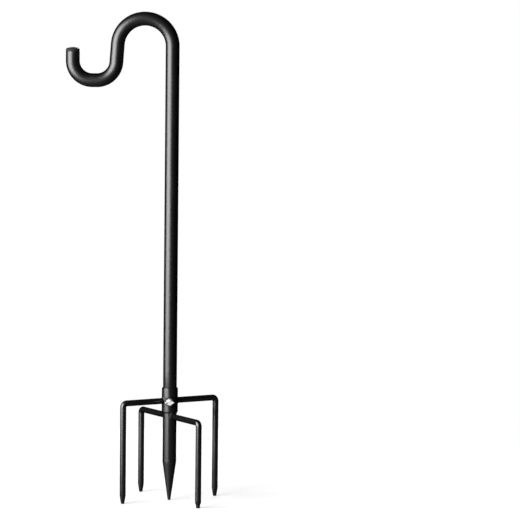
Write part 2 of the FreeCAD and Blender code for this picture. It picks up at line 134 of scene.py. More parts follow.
# Clamp screw
THREAD_RADIUS = 3.0 * MM
THREAD_ROOT_RADIUS = 2.42 * MM
THREAD_PITCH = 1.0 * MM
THREAD_STEPS = 32
SPARE_TURNS = 2
TOOTH_SINK = 0.15 * MM
BLANK_RADIUS = 3.03 * MM
STUD_CHAMFER = 0.6 * MM
HUB_RADIUS = 5.2 * MM
NOSE_RADIUS = 4.7 * MM
HUB_LENGTH = 7.5 * MM
HUB_EDGE = 0.6 * MM
NOSE_EDGE = 1.8 * MM
NOSE_STEPS = 8
BORE_DEPTH = 4.6 * MM
GATE_MARK_RADIUS = 0.85 * MM
GATE_MARK_DEPTH = 2.4 * MM
GATE_MARK_REACH = 2.9 * MM
WING_ROOT_WIDTH = 6.4 * MM
WING_TIP_WIDTH = 1.6 * MM
WING_SIDES = 32
CASTING_GRAIN = 0.16 * MM
SOFTENING = 0.5
SOFTENING_ROUNDS = 5

# Weld beads
BEAD_RADIUS = 0.9 * MM
BEAD_OFFSET = 0.35 * MM
COLLAR_BEAD_RADIUS = 0.6 * MM
COLLAR_BEAD_OFFSET = 0.1 * MM
FLUSH_BEAD_RADIUS = 0.55 * MM
BEAD_SECTIONS = 96
BEAD_SIDES = 10
RIPPLE_HEIGHT = 0.22 * MM
RIPPLE_STEPS = 4
LUMP_SIZE = 2.5 * MM
LUMP_HEIGHT = 0.3 * MM

# Places read from the frame
pole_low, pole_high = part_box("hook_pole")
cap_low, cap_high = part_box("hook_tip_cap")
plug_low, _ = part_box("foot_plug")
collar_low, collar_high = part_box("socket_collar")
boss_low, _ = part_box("threaded_boss")
stud_low, stud_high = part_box("clamp_stud")
_, wing_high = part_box("wing_head")
stake_low, stake_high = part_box("ground_stake")
_, point_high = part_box("stake_point")
_, fork_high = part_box("cross_fork")

hub_height = (collar_low.z + collar_high.z) / 2 - HUB_DROP
crown_height = pole_high.z - TUBE_RADIUS - CROWN_RADIUS
tip_top = cap_high.z - CAP_RISE
cross_height = fork_high.z - ROD_RADIUS

UP = Vector((0, 0, 1))
FRONT = Vector((0, -1, 0))
RIGHT = Vector((1, 0, 0))
SIDE_WAY = Vector((math.cos(SIDE_ANGLE), math.sin(SIDE_ANGLE), 0))
CROSS_WAY = Vector((math.sin(SIDE_ANGLE), -math.cos(SIDE_ANGLE), 0))


# Working an open mesh


def deselect():
    bpy.ops.object.select_all(action="DESELECT")


def turned_to(direction):
    """The turn that takes +Z to a direction."""
    return direction.to_track_quat("Z", "Y").to_euler()


def start_ring(name, radius, centre, direction, sides):
    """Open a new piece for drawing out: a ring of points that faces a direction."""
    deselect()
    bpy.ops.mesh.primitive_circle_add(
        vertices=sides, radius=radius, location=centre, rotation=turned_to(direction)
    )
    bpy.ops.object.transform_apply(location=True, rotation=True, scale=True)
    piece = bpy.context.object
    piece.name = name
    bpy.ops.object.mode_set(mode="EDIT")
    bpy.ops.mesh.select_all(action="SELECT")
    return piece


def draw_out(step, times=1):
    """Draw the selected ring out along a step, once or in several equal steps."""
    for _ in range(times):
        bpy.ops.mesh.extrude_region_move(TRANSFORM_OT_translate={"value": step / times})


def bend_round(centre, axis, angle, steps):
    """Draw the selected ring round a centre."""
    bpy.ops.mesh.spin(steps=steps, angle=angle, center=centre, axis=axis)


def resize_ring(share, centre):
    bpy.ops.transform.resize(value=(share, share, share), center_override=centre)


def close_ring():
    """Close the selected ring with a disc whose faces run to its middle."""
    bpy.ops.mesh.edge_face_add()
    bpy.ops.mesh.poke()


def select_points(piece, wanted):
    """Select the points of the open piece whose place fits, and nothing else."""
    shape = bmesh.from_edit_mesh(piece.data)
    for point in shape.verts:
        point.select = wanted(point.co)
    shape.select_flush_mode()
    bmesh.update_edit_mesh(piece.data)


def close_piece(piece):
    """Leave edit mode with doubles merged and all faces pointing outwards."""
    bpy.ops.mesh.select_all(action="SELECT")
    bpy.ops.mesh.remove_doubles(threshold=MERGE_DISTANCE)
    bpy.ops.mesh.normals_make_consistent(inside=False)
    bpy.ops.object.mode_set(mode="OBJECT")
    return piece


def draw_profile(base, direction, profile):
    """Draw the selected ring on through a profile's (height, radius) stations."""
    for (height, radius), (next_height, next_radius) in zip(profile, profile[1:]):
        draw_out(direction * (next_height - height))
        resize_ring(next_radius / radius, base + direction * next_height)


def start_disc(name, base, direction, station, sides):
    """Open a new piece with a closed disc at a profile's first station, with its rim selected."""
    height, radius = station
    middle = base + direction * height
    piece = start_ring(name, radius, middle, direction, sides)
    close_ring()
    select_points(piece, lambda place: (place - middle).length > radius / 2)
    return piece


def round_stations(height, radius, rounding, start, end, steps=4):
    """Stations round an edge, by the angles in degrees of its arc, 0 outwards and 90 upwards."""
    angles = [math.radians(start + (end - start) * step / steps) for step in range(steps + 1)]
    return [
        (height + rounding * math.sin(angle), radius + rounding * math.cos(angle))
        for angle in angles
    ]


def hold_edges(profile, margin):
    """Add a station close to each end of every long run, so that the shading turns only at the edges."""
    held = profile[:1]
    for start, end in zip(profile, profile[1:]):
        run = (Vector(end) - Vector(start)).length
        if run > LONG_RUN_MARGINS * margin:
            held.append(tuple(Vector(start).lerp(end, margin / run)))
            held.append(tuple(Vector(start).lerp(end, 1 - margin / run)))
        held.append(end)
    return held


def turn_on_lathe(name, base, direction, profile, sides, hollow=False):
    """Draw a ring through a profile, and close its two ends, or its loop where the piece is hollow."""
    profile = hold_edges(profile + profile[:1] if hollow else profile, EDGE_MARGIN)
    if hollow:
        piece = start_ring(name, profile[0][1], base + direction * profile[0][0], direction, sides)
        draw_profile(base, direction, profile)
    else:
        piece = start_disc(name, base, direction, profile[0], sides)
        draw_profile(base, direction, profile)
        close_ring()
    return close_piece(piece)


def round_off(piece, width, segments):
    """Round every sharp edge."""
    rounding = piece.modifiers.new("Rounding", "BEVEL")
    rounding.limit_method = "ANGLE"
    rounding.angle_limit = SHARP_CORNER
    rounding.width = width
    rounding.segments = segments
    bpy.ops.object.modifier_apply(modifier=rounding.name)


def make_active(piece):
    deselect()
    piece.select_set(True)
    bpy.context.view_layer.objects.active = piece


def cut_with(piece, cutter, operation="DIFFERENCE"):
    """Cut a piece with another one, join them or keep what they share, and use the other one up."""
    cut = piece.modifiers.new("Cut", "BOOLEAN")
    cut.operation = operation
    cut.solver = "EXACT"
    cut.object = cutter
    make_active(piece)
    bpy.ops.object.modifier_apply(modifier=cut.name)
    bpy.data.objects.remove(cutter)


def plain_rod(radius, base, direction, length, sides=ROD_SIDES):
    """A round tool for cutting holes and seats."""
    return turn_on_lathe("tool", base, direction, [(0, radius), (length, radius)], sides)


def finish_piece(piece, body, slot, finish, *nodes):
    """Smooth a piece, give it its finish and tie it to its body."""
    make_active(piece)
    bpy.ops.object.shade_smooth_by_angle(angle=SMOOTH_ANGLE)
    piece.data.materials.clear()
    piece.data.materials.append(finish)
    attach(piece, body)
    if nodes:
        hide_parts(*nodes)


# Finishes

# Noise patterns: waves to a metre, and how many finer layers
PEEL_NOISE = (900, 2)
COAT_CLOUD = (28, 3)
PLASTIC_NOISE = (1600, 2)
PLASTIC_CLOUD = (120, 2)
ZINC_CLOUD = (420, 3)
ZINC_NOISE = (1500, 2)
NOISE_ROUGHNESS = 0.55

# What a noise pattern mostly lies between
PATTERN_LOW = 0.3
PATTERN_HIGH = 0.7

# Powder coat: how much lighter its light patches are, how uneven its dullness is, and how its gloss fades
LIGHT_PATCHES = 1.4
DULLNESS_SWING = 0.02
FADE_BLEND = 0.5

# Moulded plastic
PLASTIC_DARK = (0.007, 0.007, 0.007)
PLASTIC_LIGHT = (0.010, 0.010, 0.010)
PLASTIC_DULLNESS = (0.68, 0.76)
PLASTIC_GLOSS = 0.16
PLASTIC_GRAIN_DEPTH = 0.01 * MM

# Zinc plate
ZINC_DARK = (0.55, 0.55, 0.54)
ZINC_LIGHT = (0.78, 0.78, 0.77)
ZINC_DULLNESS = (0.48, 0.56)
ZINC_GRAIN_DEPTH = 0.02 * MM


def new_finish(name):
    finish = bpy.data.materials.new(name)
    finish.use_nodes = True
    return finish, finish.node_tree.nodes, finish.node_tree.links


def add_noise(nodes, links, scale, detail):
    """A noise pattern on the piece's own coordinates."""
    place = nodes.new("ShaderNodeTexCoord")
    noise = nodes.new("ShaderNodeTexNoise")
    noise.inputs["Scale"].default_value = scale
    noise.inputs["Detail"].default_value = detail
    noise.inputs["Roughness"].default_value = NOISE_ROUGHNESS
    links.new(place.outputs["Object"], noise.inputs["Vector"])
    return noise


def spread(nodes, links, pattern, low, high):
    """Map a pattern's usual range to a low and a high value."""
    spreader = nodes.new("ShaderNodeMapRange")
    spreader.inputs["From Min"].default_value = PATTERN_LOW
    spreader.inputs["From Max"].default_value = PATTERN_HIGH
    spreader.inputs["To Min"].default_value = low
    spreader.inputs["To Max"].default_value = high
    links.new(pattern.outputs["Fac"], spreader.inputs["Value"])
    return spreader.outputs["Result"]


def tint(nodes, links, pattern, dark, light):
    """Mix a dark and a light colour by a pattern."""
    share = spread(nodes, links, pattern, 0.0, 1.0)
    mix = nodes.new("ShaderNodeMix")
    mix.data_type = "RGBA"
    mix.inputs["A"].default_value = (*dark, 1)
    mix.inputs["B"].default_value = (*light, 1)
    links.new(share, mix.inputs["Factor"])
    return mix.outputs["Result"]


def add_grain(nodes, links, shader, pattern, depth):
    """Raise the surface by a pattern, to a depth in metres."""
    bump = nodes.new("ShaderNodeBump")
    bump.inputs["Distance"].default_value = depth
    links.new(pattern.outputs["Fac"], bump.inputs["Height"])
    links.new(bump.outputs["Normal"], shader.inputs["Normal"])


def fade_gloss(nodes, links, gloss, start, end):
    """Full gloss where the coating is seen square on, and none of it along the edges."""
    slant = nodes.new("ShaderNodeLayerWeight")
    slant.inputs["Blend"].default_value = FADE_BLEND
    fade = nodes.new("ShaderNodeMapRange")
    fade.inputs["From Min"].default_value = start
    fade.inputs["From Max"].default_value = end
    fade.inputs["To Min"].default_value = gloss
    fade.inputs["To Max"].default_value = 0.0
    links.new(slant.outputs["Facing"], fade.inputs["Value"])
    return fade.outputs["Result"]


def powder_coat(name, shade, dullness, peel_depth, gloss, fade_start, fade_end):
    """Satin black powder coat: fine orange peel, with slightly uneven gloss."""
    finish, nodes, links = new_finish(name)
    shader = nodes["Principled BSDF"]
    peel = add_noise(nodes, links, *PEEL_NOISE)
    cloud = add_noise(nodes, links, *COAT_CLOUD)
    colour = tint(nodes, links, cloud, (shade,) * 3, (shade * LIGHT_PATCHES,) * 3)
    roughness = spread(nodes, links, cloud, dullness - DULLNESS_SWING, dullness + DULLNESS_SWING)
    faded = fade_gloss(nodes, links, gloss, fade_start, fade_end)
    links.new(colour, shader.inputs["Base Color"])
    links.new(roughness, shader.inputs["Roughness"])
    links.new(faded, shader.inputs["Specular IOR Level"])
    add_grain(nodes, links, shader, peel, peel_depth)
    return finish


def moulded_plastic(name):
    """Dull black polyethylene with a fine moulded grain."""
    finish, nodes, links = new_finish(name)
    shader = nodes["Principled BSDF"]
    grain = add_noise(nodes, links, *PLASTIC_NOISE)
    cloud = add_noise(nodes, links, *PLASTIC_CLOUD)
    colour = tint(nodes, links, cloud, PLASTIC_DARK, PLASTIC_LIGHT)
    links.new(colour, shader.inputs["Base Color"])
    links.new(spread(nodes, links, cloud, *PLASTIC_DULLNESS), shader.inputs["Roughness"])
    shader.inputs["Specular IOR Level"].default_value = PLASTIC_GLOSS
    add_grain(nodes, links, shader, grain, PLASTIC_GRAIN_DEPTH)
    return finish


def zinc_plate(name):
    """Bright zinc on steel or on a casting, a little mottled."""
    finish, nodes, links = new_finish(name)
    shader = nodes["Principled BSDF"]
    cloud = add_noise(nodes, links, *ZINC_CLOUD)
    grain = add_noise(nodes, links, *ZINC_NOISE)
    shader.inputs["Metallic"].default_value = 1.0
    links.new(tint(nodes, links, cloud, ZINC_DARK, ZINC_LIGHT), shader.inputs["Base Color"])
    links.new(spread(nodes, links, cloud, *ZINC_DULLNESS), shader.inputs["Roughness"])
    add_grain(nodes, links, shader, grain, ZINC_GRAIN_DEPTH)
    return finish


pole_coat = powder_coat(
    "PoleCoating", shade=0.0013, dullness=0.38, peel_depth=0.003 * MM,
    gloss=0.5, fade_start=0.2, fade_end=0.6,
)
base_coat = powder_coat(
    "BaseCoating", shade=0.0026, dullness=0.31, peel_depth=0.008 * MM,
    gloss=0.62, fade_start=0.17, fade_end=0.55,
)
# The point's coat is duller than the base coat, and its colour is a little lighter as painted light, so
# that the cone, which faces a little downwards, comes out lighter
point_coat_with_painted_light = powder_coat(
    "PointCoating", shade=0.003, dullness=0.48, peel_depth=0.01 * MM,
    gloss=0.5, fade_start=0.2, fade_end=0.65,
)
cap_plastic = moulded_plastic("CapPlastic")
zinc = zinc_plate("ZincPlate")


# Hook pole


def bend_pole():
    """Draw the tube up from its foot, over the big bend and round the cradle."""
    across = Vector((0, 1, 0))
    foot = Vector((0, 0, pole_low.z))
    crown = Vector((-CROWN_RADIUS, 0, crown_height))
    down_run = Vector((-math.sin(HOOK_LEAN), 0, -math.cos(HOOK_LEAN)))
    inward = Vector((-math.cos(HOOK_LEAN), 0, math.sin(HOOK_LEAN)))
    crown_end = crown + inward * CROWN_RADIUS
    run_end = crown_end + down_run * RUN_LENGTH
    near_centre = run_end + inward * THROAT_RADIUS
    far_centre = near_centre - RIGHT * CRADLE_FLAT
    tip_length = tip_top - far_centre.z
    piece = start_ring("bent_tube", TUBE_RADIUS, foot, UP, TUBE_SIDES)
    draw_out(UP * (crown_height - foot.z), POLE_STEPS)
    bend_round(crown, across, math.pi - HOOK_LEAN, CROWN_STEPS)
    draw_out(down_run * RUN_LENGTH, SHORT_RUN_STEPS)
    bend_round(near_centre, across, HOOK_LEAN - math.pi / 2, NEAR_BEND_STEPS)
    draw_out(-RIGHT * CRADLE_FLAT)
    bend_round(far_centre, across, -math.pi / 2, FAR_BEND_STEPS)
    draw_out(UP * tip_length, SHORT_RUN_STEPS)
    close_piece(piece)
    wall = piece.modifiers.new("Wall", "SOLIDIFY")
    wall.thickness = POLE_WALL
    wall.offset = -1
    bpy.ops.object.modifier_apply(modifier=wall.name)
    round_off(piece, TUBE_RIM, TUBE_RIM_SEGMENTS)
    finish_piece(piece, "pole", "pole_coating", pole_coat, "hook_pole")


bend_pole()


def mould_tip_cap():
    """Domed plug in the upturned end: skirt, groove at the seam, rounded edge and shallow dome."""
    base = Vector(((cap_low.x + cap_high.x) / 2, 0, tip_top))
    hollow = PLUG_RADIUS - PLUG_WALL
    dome_centre = CAP_RISE - CAP_DOME_RADIUS
    edge_reach = TUBE_RADIUS - CAP_EDGE_RADIUS
    edge_height = dome_centre + math.sqrt((CAP_DOME_RADIUS - CAP_EDGE_RADIUS) ** 2 - edge_reach ** 2)
    dome_start = math.degrees(math.atan2(edge_height - dome_centre, edge_reach))
    gate = math.degrees(math.acos(GATE_RADIUS / CAP_DOME_RADIUS))
    dome = round_stations(dome_centre, 0, CAP_DOME_RADIUS, dome_start, gate, CAP_DOME_STEPS)
    gate_height = dome[-1][0]
    profile = [
        (-CAP_FLOOR, hollow),
        (-PLUG_DEPTH, hollow),
        (-PLUG_DEPTH, PLUG_RADIUS - PLUG_EDGE),
        (PLUG_EDGE - PLUG_DEPTH, PLUG_RADIUS),
        (0, PLUG_RADIUS),
        (0, TUBE_RADIUS - SEAM_DEPTH),
        (SEAM_DEPTH, TUBE_RADIUS),
        *round_stations(edge_height, edge_reach, CAP_EDGE_RADIUS, 0, dome_start, CAP_EDGE_STEPS),
        *dome[1:],
        (gate_height - GATE_DEPTH, GATE_RADIUS - GATE_DEPTH),
    ]
    piece = turn_on_lathe("domed_tip_cap", base, UP, profile, TUBE_SIDES)
    finish_piece(piece, "pole", "cap_plastic", cap_plastic, "hook_tip_cap")


def mould_foot_plug():
    """Plug in the pole's foot: rounded flange under the tube and hollow skirt in it."""
    top = FOOT_FLANGE + PLUG_DEPTH
    rim = FOOT_FLANGE_RADIUS - PLUG_EDGE
    profile = [
        *round_stations(PLUG_EDGE, rim, PLUG_EDGE, -90, 0),
        (FOOT_FLANGE, FOOT_FLANGE_RADIUS),
        (FOOT_FLANGE, PLUG_RADIUS),
        (top - PLUG_EDGE, PLUG_RADIUS),
        (top, PLUG_RADIUS - PLUG_EDGE),
        (top, PLUG_RADIUS - PLUG_WALL),
        (FOOT_FLANGE, PLUG_RADIUS - PLUG_WALL),
    ]
    piece = turn_on_lathe("flanged_foot_plug", Vector((0, 0, plug_low.z)), UP, profile, TUBE_SIDES)
    finish_piece(piece, "foot", "cap_plastic", cap_plastic, "foot_plug")


mould_tip_cap()
mould_foot_plug()


# Collar with its screw boss


def turn_collar():
    """Sleeve with rounded rims, a step inside on which the stake ends, and the screw's hole."""
    bottom, top = collar_low.z, collar_high.z
    rim = COLLAR_RADIUS - COLLAR_EDGE
    foot_edge = COLLAR_RADIUS - TUBE_RADIUS
    foot = [
        (bottom + (height + foot_edge) * COLLAR_FOOT / foot_edge, TUBE_RADIUS + reach)
        for height, reach in round_stations(0, 0, foot_edge, -90, 0, COLLAR_FOOT_STEPS)
    ]
    profile = [
        *foot,
        *round_stations(top - COLLAR_EDGE, rim, COLLAR_EDGE, 0, 90),
        (top, SOCKET_RADIUS + SOCKET_LEAD_IN),
        (top - SOCKET_LEAD_IN, SOCKET_RADIUS),
        (stake_high.z, SOCKET_RADIUS),
        (stake_high.z, TUBE_RADIUS),
    ]
    piece = turn_on_lathe("rounded_collar", Vector(), UP, profile, TUBE_SIDES, hollow=True)
    cut_with(piece, plain_rod(TAPPED_RADIUS, UP * hub_height, FRONT, COLLAR_RADIUS * 2))
    finish_piece(piece, "base", "base_coating", base_coat, "socket_collar")


def turn_boss():
    """Round boss with a rounded rim and a countersunk hole, cut to sit in the collar's wall."""
    face = -boss_low.y
    rim = BOSS_RADIUS - BOSS_EDGE
    profile = [
        (0, TAPPED_RADIUS),
        (0, BOSS_RADIUS),
        *round_stations(face - BOSS_EDGE, rim, BOSS_EDGE, 0, 90),
        (face, TAPPED_RADIUS + BOSS_EDGE),
        (face - BOSS_EDGE, TAPPED_RADIUS),
    ]
    piece = turn_on_lathe("screw_boss", UP * hub_height, FRONT, profile, FITTING_SIDES, hollow=True)
    seat = (SOCKET_RADIUS + COLLAR_RADIUS) / 2
    cut_with(piece, plain_rod(seat, UP * collar_low.z, UP, collar_high.z - collar_low.z, TUBE_SIDES))
    finish_piece(piece, "base", "base_coating", base_coat, "threaded_boss")


turn_collar()
turn_boss()


# Stake


def turn_stake():
    """Tube below the collar, with the two holes that the cross bar goes through."""
    bottom, top = stake_low.z, stake_high.z
    profile = [
        (bottom, STAKE_BORE_RADIUS),
        (bottom, TUBE_RADIUS),
        (top - TUBE_RIM, TUBE_RADIUS),
        (top, TUBE_RADIUS - TUBE_RIM),
        (top, STAKE_BORE_RADIUS),
    ]
    piece = turn_on_lathe("stake_tube", Vector(), UP, profile, TUBE_SIDES, hollow=True)
    start = UP * cross_height - CROSS_WAY * TUBE_RADIUS * 2
    cut_with(piece, plain_rod(CROSS_HOLE_RADIUS, start, CROSS_WAY, TUBE_RADIUS * 4))
    finish_piece(piece, "base", "base_coating", base_coat, "ground_stake")


def turn_point():
    """Cone with a blunt rounded end, and the spigot that holds it in the stake tube."""
    shoulder = stake_low.z
    slope = (TUBE_RADIUS - POINT_END_RADIUS) / (shoulder - SHOULDER_ROUNDING / 2)
    shares = [1.0, 0.8, 0.6, 0.4, 0.2, 0.0]
    rounded = [
        (shoulder - SHOULDER_ROUNDING * share, TUBE_RADIUS - slope * SHOULDER_ROUNDING * share ** 2 / 2)
        for share in shares
    ]
    profile = [
        *round_stations(POINT_EDGE, POINT_END_RADIUS - POINT_EDGE, POINT_EDGE, -90, 0),
        *rounded,
        (shoulder, SPIGOT_RADIUS),
        (point_high.z, SPIGOT_RADIUS),
    ]
    piece = turn_on_lathe("stake_cone", Vector(), UP, profile, TUBE_SIDES)
    finish_piece(piece, "base", "base_coating", point_coat_with_painted_light, "stake_point")


turn_stake()
turn_point()


# Prongs

TAPERED_END = [
    *round_stations(ROD_END_EDGE, ROD_END_RADIUS - ROD_END_EDGE, ROD_END_EDGE, -90, 0),
    (ROD_TAPER, ROD_RADIUS),
]
STEPPED_END = [
    *round_stations(ROD_END_EDGE, NUB_RADIUS - ROD_END_EDGE, ROD_END_EDGE, -90, 0),
    (NUB_LENGTH, NUB_RADIUS + ROD_END_EDGE / 2),
    (NUB_LENGTH + ROD_END_EDGE, ROD_RADIUS - ROD_END_EDGE),
    (NUB_SHOULDER, ROD_RADIUS),
    (ROD_TAPER, ROD_RADIUS),
]


def start_prong(name, foot, bar_height, end):
    """Draw a rod up from its worked end to the start of its corner."""
    piece = start_disc(name, foot, UP, end[0], ROD_SIDES)
    draw_profile(foot, UP, end)
    draw_out(UP * (bar_height - ROD_BEND_RADIUS - ROD_TAPER), LEG_STEPS)
    return piece


def turn_corner(place, outward):
    """Bend the rod inwards or down round a corner whose centre lies inside it."""
    bend_round(place, UP.cross(outward), math.pi / 2, CORNER_STEPS)


def bend_side_prong(name, node, outward):
    """A rod from the ground up to the clamp screw's level, which ends in the collar's wall."""
    foot = outward * SIDE_REACH
    root = (SOCKET_RADIUS + COLLAR_RADIUS) / 2 - TUBE_RIM
    piece = start_prong(name, foot, hub_height, TAPERED_END)
    turn_corner(outward * (SIDE_REACH - ROD_BEND_RADIUS) + UP * (hub_height - ROD_BEND_RADIUS), outward)
    draw_out(-outward * (SIDE_REACH - ROD_BEND_RADIUS - root), SIDE_BAR_STEPS)
    close_ring()
    close_piece(piece)
    finish_piece(piece, "base", "base_coating", base_coat, node)


def bend_cross_fork():
    """A rod up, across through the stake, and down again behind, with a stepped end in front."""
    corner = CROSS_REACH - ROD_BEND_RADIUS
    level = UP * (cross_height - ROD_BEND_RADIUS)
    far_foot = -CROSS_WAY * CROSS_REACH
    piece = start_prong("bent_cross_fork", CROSS_WAY * CROSS_REACH, cross_height, STEPPED_END)
    turn_corner(CROSS_WAY * corner + level, CROSS_WAY)
    draw_out(-CROSS_WAY * 2 * corner, CROSS_BAR_STEPS)
    turn_corner(-CROSS_WAY * corner + level, CROSS_WAY)
    draw_out(-UP * (cross_height - ROD_BEND_RADIUS - ROD_TAPER), LEG_STEPS)
    draw_profile(far_foot, UP, TAPERED_END[::-1])
    close_ring()
    close_piece(piece)
    finish_piece(piece, "base", "base_coating", base_coat, "cross_fork")


bend_side_prong("bent_left_prong", "left_prong", -SIDE_WAY)
bend_side_prong("bent_right_prong", "right_prong", SIDE_WAY)
bend_cross_fork()


# Weld beads


def lay_bead(name, centre, direction, radius, thickness, seat_radius=None):
    """A ring of weld with ripples, bent to its round seat where it goes round a bar or the boss."""
    deselect()
    bpy.ops.mesh.primitive_torus_add(
        major_radius=radius, minor_radius=thickness,
        major_segments=BEAD_SECTIONS, minor_segments=BEAD_SIDES,
        location=centre, rotation=turned_to(direction),
    )
    bpy.ops.object.transform_apply(location=True, rotation=True, scale=True)
    piece = bpy.context.object
    piece.name = name
    level = direction.cross(UP) if seat_radius else RIGHT
    upright = direction.cross(level)
    section_turn = 2 * math.pi / BEAD_SECTIONS

    def section(place):
        arm = place - centre
        return round(math.atan2(arm.dot(upright), arm.dot(level)) / section_turn) % BEAD_SECTIONS

    bpy.ops.object.mode_set(mode="EDIT")
    for step in range(1, RIPPLE_STEPS):
        select_points(piece, lambda place: section(place) % RIPPLE_STEPS == step)
        bpy.ops.transform.shrink_fatten(value=RIPPLE_HEIGHT * step / RIPPLE_STEPS)
    for index in range(BEAD_SECTIONS if seat_radius else 0):
        aside = radius * math.cos(index * section_turn)
        sink = seat_radius - math.sqrt(seat_radius ** 2 - aside ** 2)
        select_points(piece, lambda place: section(place) == index)
        bpy.ops.transform.translate(value=-direction * sink)
    close_piece(piece)
    lumps = bpy.data.textures.new("WeldLumps", "CLOUDS")
    lumps.noise_scale = LUMP_SIZE
    uneven = piece.modifiers.new("Uneven", "DISPLACE")
    uneven.texture = lumps
    uneven.strength = LUMP_HEIGHT
    uneven.mid_level = 0.5
    bpy.ops.object.modifier_apply(modifier=uneven.name)
    return piece


def copy_round(piece, name, angle):
    """Copy a piece with its own mesh, turned round the pole's axis."""
    make_active(piece)
    bpy.ops.object.duplicate()
    twin = bpy.context.object
    twin.name = name
    twin.rotation_euler = (0, 0, angle)
    bpy.ops.object.transform_apply(location=True, rotation=True, scale=True)
    return twin


collar_weld = lay_bead(
    "collar_weld", UP * (collar_low.z + COLLAR_BEAD_OFFSET), UP,
    TUBE_RADIUS + COLLAR_BEAD_OFFSET, COLLAR_BEAD_RADIUS,
)
point_weld = lay_bead("point_weld", UP * stake_low.z, UP, TUBE_RADIUS - BEAD_OFFSET, FLUSH_BEAD_RADIUS)
boss_weld = lay_bead(
    "boss_weld", UP * hub_height + FRONT * COLLAR_RADIUS, FRONT,
    BOSS_RADIUS + BEAD_OFFSET, BEAD_RADIUS, COLLAR_RADIUS,
)
right_weld = lay_bead(
    "right_bar_weld", UP * hub_height + SIDE_WAY * COLLAR_RADIUS, SIDE_WAY,
    ROD_RADIUS + BEAD_OFFSET, BEAD_RADIUS, COLLAR_RADIUS,
)
front_weld = lay_bead(
    "front_bar_weld", UP * cross_height + CROSS_WAY * TUBE_RADIUS, CROSS_WAY,
    ROD_RADIUS + BEAD_OFFSET, BEAD_RADIUS, TUBE_RADIUS,
)
left_weld = copy_round(right_weld, "left_bar_weld", math.pi)
rear_weld = copy_round(front_weld, "rear_bar_weld", math.pi)
for weld in (collar_weld, point_weld, boss_weld, right_weld, front_weld, left_weld, rear_weld):
    finish_piece(weld, "base", "base_coating", base_coat)


# Clamp screw


def cut_stud():
    """Stud with a rolled thread: one tooth wound up round the core, and trimmed to a chamfered blank."""
    start, end = -stud_high.y, -stud_low.y
    length = end - start
    turns = math.ceil(length / THREAD_PITCH) + SPARE_TURNS
    tooth = [
        (THREAD_ROOT_RADIUS - TOOTH_SINK, -0.46),
        (THREAD_ROOT_RADIUS, -0.44),
        (THREAD_RADIUS, -0.07),
        (THREAD_RADIUS, 0.07),
        (THREAD_ROOT_RADIUS, 0.44),
        (THREAD_ROOT_RADIUS - TOOTH_SINK, 0.46),
    ]
    deselect()
    bpy.ops.mesh.primitive_circle_add(vertices=len(tooth), radius=THREAD_RADIUS)
    piece = bpy.context.object
    piece.name = "threaded_stud"
    for point, (radius, share) in zip(piece.data.vertices, tooth):
        point.co = (radius, 0, share * THREAD_PITCH)
    winding = piece.modifiers.new("Winding", "SCREW")
    winding.axis = "Z"
    winding.screw_offset = THREAD_PITCH
    winding.iterations = turns
    winding.steps = winding.render_steps = THREAD_STEPS
    bpy.ops.object.modifier_apply(modifier=winding.name)
    piece.location = UP * -THREAD_PITCH
    bpy.ops.object.transform_apply(location=True, rotation=True, scale=True)
    bpy.ops.object.mode_set(mode="EDIT")
    bpy.ops.mesh.select_all(action="DESELECT")
    bpy.ops.mesh.select_non_manifold()
    bpy.ops.mesh.edge_face_add()
    close_piece(piece)
    core = plain_rod(THREAD_ROOT_RADIUS, UP * -THREAD_PITCH, UP, length + THREAD_PITCH * SPARE_TURNS)
    cut_with(piece, core, "UNION")
    blank = [
        (0, THREAD_RADIUS - STUD_CHAMFER),
        (STUD_CHAMFER, BLANK_RADIUS),
        (length, BLANK_RADIUS),
    ]
    cut_with(piece, turn_on_lathe("tool", Vector(), UP, blank, ROD_SIDES), "INTERSECT")
    piece.rotation_euler = turned_to(FRONT)
    piece.location = UP * hub_height + FRONT * start
    make_active(piece)
    bpy.ops.object.transform_apply(location=True, rotation=True, scale=True)
    finish_piece(piece, "stud", "plated_steel", zinc, "clamp_stud")


cut_stud()


# A wing's stations: share of the way to its end, and its back and front edge from the hub's back
WING_STATIONS = [
    (0.0, 1.0 * MM, 6.6 * MM),
    (0.38, 1.4 * MM, 6.9 * MM),
    (0.5, 1.6 * MM, 7.9 * MM),
    (0.6, 1.8 * MM, 8.6 * MM),
    (0.8, 2.2 * MM, 8.6 * MM),
    (0.93, 2.8 * MM, 8.0 * MM),
    (1.0, 3.6 * MM, 7.2 * MM),
]


def cast_wing(outward):
    """One wing: an oval drawn outwards from the hub's middle, which rises past the hub as a blunt ear."""
    half_span = wing_high.x
    base = FRONT * -wing_high.y + UP * hub_height

    def middle(station):
        share, back, front = station
        return base + outward * half_span * share + FRONT * (back + front) / 2

    # The ring is drawn 1 m across, so that a resize gives its real reach and width
    first = WING_STATIONS[0]
    piece = start_ring("wing", 0.5, middle(first), outward, WING_SIDES)
    width, reach = WING_ROOT_WIDTH, first[2] - first[1]
    bpy.ops.transform.resize(value=(1, reach, width), center_override=middle(first))
    for station, following in zip(WING_STATIONS, WING_STATIONS[1:]):
        share, back, front = following
        next_width = WING_ROOT_WIDTH + (WING_TIP_WIDTH - WING_ROOT_WIDTH) * share
        draw_out(middle(following) - middle(station))
        bpy.ops.transform.resize(
            value=(1, (front - back) / reach, next_width / width), center_override=middle(following)
        )
        width, reach = next_width, front - back
    close_ring()
    bpy.ops.mesh.select_all(action="DESELECT")
    select_points(piece, lambda place: abs(place.x) < CASTING_GRAIN)
    close_ring()
    return close_piece(piece)


